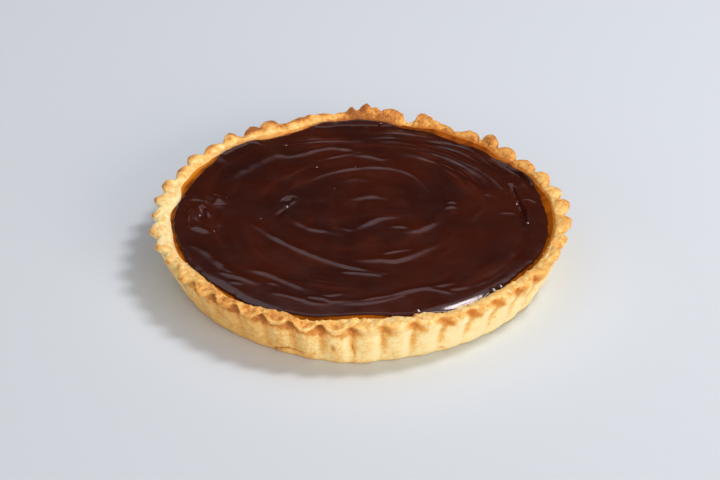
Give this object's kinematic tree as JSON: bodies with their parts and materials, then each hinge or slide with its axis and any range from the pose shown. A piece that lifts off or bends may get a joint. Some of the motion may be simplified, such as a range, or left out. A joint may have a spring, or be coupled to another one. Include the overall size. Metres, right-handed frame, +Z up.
{
  "type": "salted caramel chocolate tart",
  "caption": "Round fluted shortcrust tart filled with soft caramel and topped with glossy, spatula-swirled chocolate ganache, whole and uncut.",
  "frame": {"origin": "centre of the flat base, where the tart rests", "axes": "+Z up out of the filling; +Y away from the viewer of the picture; +X to that viewer's right; metres"},
  "size_m": [0.201, 0.199, 0.0297],
  "materials": {
    "shortcrust": "baked shortcrust pastry, sandy and matt, browned on the rim",
    "caramel": "soft amber caramel, glossy and slightly see-through",
    "ganache": "dark chocolate ganache, glossy with spatula swirls"
  },
  "bodies": {
    "root": {"crust": "shortcrust", "caramel": "caramel", "ganache": "ganache"}
  },
  "joints": []
}
